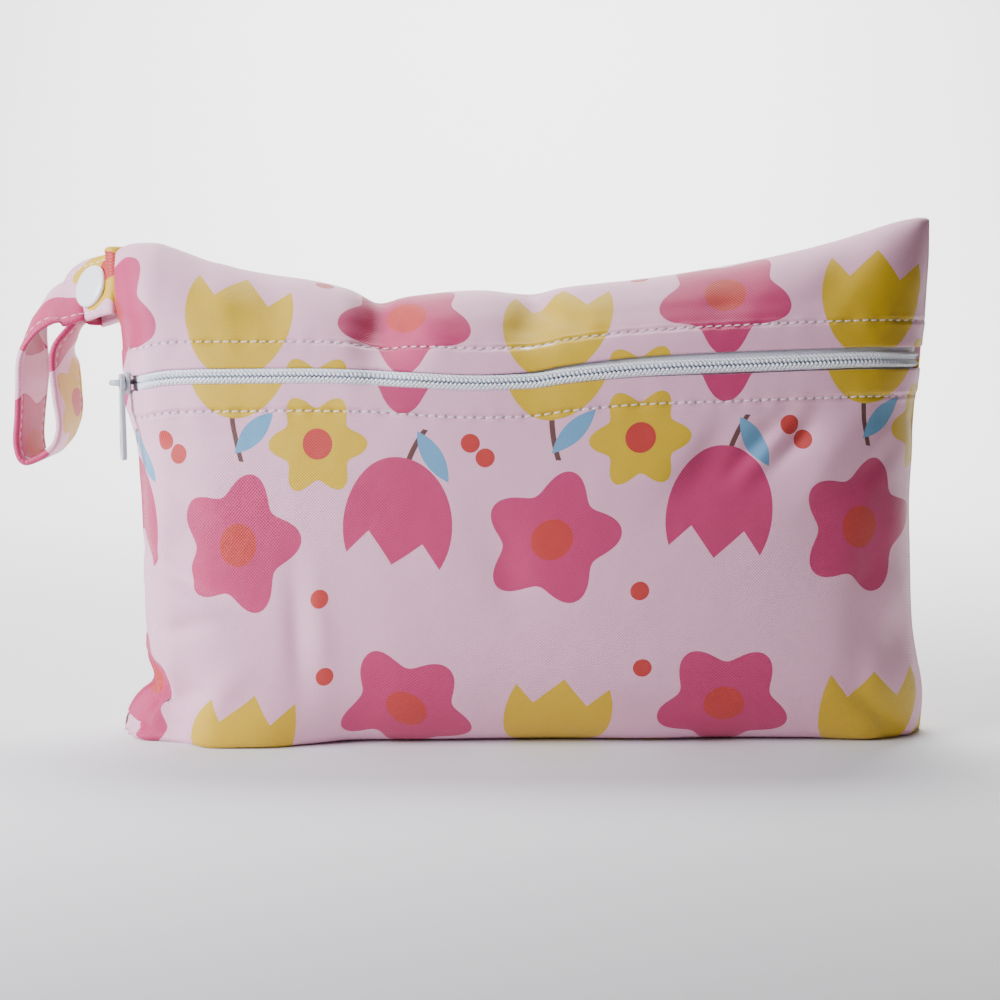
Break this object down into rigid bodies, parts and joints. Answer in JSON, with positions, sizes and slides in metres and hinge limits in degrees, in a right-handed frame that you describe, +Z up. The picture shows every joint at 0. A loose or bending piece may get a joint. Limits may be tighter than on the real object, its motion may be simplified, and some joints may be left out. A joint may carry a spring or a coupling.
{
  "type": "zipped wet bag",
  "caption": "Stuffed rectangular cloth pouch with a zip across the front and a snapped hanging strap at one end, standing on its base.",
  "frame": {"origin": "middle of the base, on the floor", "axes": "+X to the right along the zip, +Y away from the side with the zip, +Z up"},
  "size_m": [0.2602, 0.0599, 0.147],
  "materials": {
    "cloth": "printed coated polyester with a faint sheen",
    "strap_cloth": "printed coated polyester with a faint sheen",
    "zip_tape": "woven tape",
    "zip_coil": "nylon coil",
    "enamel": "gloss enamel",
    "snap_plastic": "gloss"
  },
  "bodies": {
    "bag": {"bag_sleeve": "cloth", "zip_tape_upper": "zip_tape", "zip_tape_lower": "zip_tape", "zip_coil_upper": "zip_coil", "zip_coil_lower": "zip_coil", "zip_slider": "enamel", "strap_loop": "strap_cloth", "snap_cap_front": "snap_plastic", "snap_socket": "snap_plastic", "snap_stud": "snap_plastic", "snap_cap_back": "snap_plastic"},
    "puller": {"zip_puller": "enamel"}
  },
  "joints": [
    {"name": "puller_swing", "type": "hinge", "parent": "bag", "child": "puller", "pos_m": [-0.11081, -0.01146, 0.1008], "axis": [-0.9433, -0.3321, 0], "range_deg": [-45, 190]}
  ]
}
